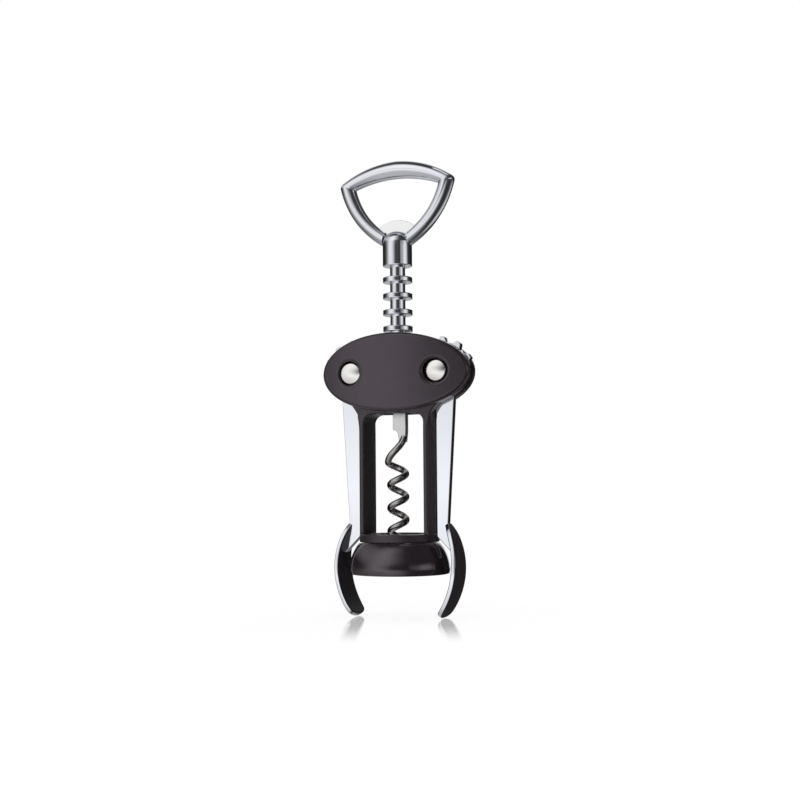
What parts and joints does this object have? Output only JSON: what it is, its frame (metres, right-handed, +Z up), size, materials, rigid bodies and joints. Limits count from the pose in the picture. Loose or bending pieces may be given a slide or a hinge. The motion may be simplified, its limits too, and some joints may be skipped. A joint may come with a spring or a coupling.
{
  "type": "wing corkscrew",
  "caption": "Wing corkscrew: geared levers ride a ringed shaft in an oval head; open posts, collar and flared bell below; right-hand worm and a looped handle with a cap lifter.",
  "frame": {"origin": "on the shaft's axis, level with the tips of the folded levers", "axes": "+Z up along the shaft, from the bell towards the handle; the front cover faces -Y; the right lever is on +X"},
  "size_m": [0.0684, 0.044, 0.201],
  "materials": {
    "coated_black": "dark grey-brown satin coating",
    "soft_cover": "dark grey-brown, soft satin",
    "chrome": "mirror bright",
    "nickel": "satin nickel",
    "steel": "polished",
    "nylon": "off-white moulded",
    "black_nylon": "black moulded"
  },
  "bodies": {
    "frame": {"frame": "coated_black", "bell": "coated_black", "bottle_seat": "black_nylon", "front_cover": "soft_cover", "rear_cover": "soft_cover", "shaft_bush": "nylon", "right_pivot_pin": "nickel", "left_pivot_pin": "nickel", "right_pin_cap": "nickel", "left_pin_cap": "nickel", "right_cap_washer": "nickel", "left_cap_washer": "nickel"},
    "carriage": {"stop_ring": "nylon"},
    "screw": {"handle": "chrome", "cap_lifter": "steel", "handle_pin": "steel", "rack_shaft": "chrome", "worm": "steel", "worm_pin": "steel"},
    "right_lever": {"right_lever": "chrome"},
    "left_lever": {"left_lever": "chrome"}
  },
  "joints": [
    {"name": "rack_slide", "type": "slide", "parent": "frame", "child": "carriage", "axis": [0, 0, -1], "range_m": [0, 0.03625]},
    {"name": "handle_spin", "type": "hinge", "parent": "carriage", "child": "screw", "pos_m": [0, 0, 0.12], "axis": [0, 0, 1], "continuous": true},
    {"name": "right_lever_swing", "type": "hinge", "parent": "frame", "child": "right_lever", "pos_m": [0.0198, 0, 0.1064], "axis": [0, -1, 0], "range_deg": [0, 150.2]},
    {"name": "left_lever_swing", "type": "hinge", "parent": "frame", "child": "left_lever", "pos_m": [-0.0198, 0, 0.1064], "axis": [0, 1, 0], "range_deg": [0, 150.2]}
  ],
  "couplings": [
    {"joint": "right_lever_swing", "follows": "rack_slide", "rad_per_m": 72.221},
    {"joint": "left_lever_swing", "follows": "rack_slide", "rad_per_m": 72.221}
  ]
}
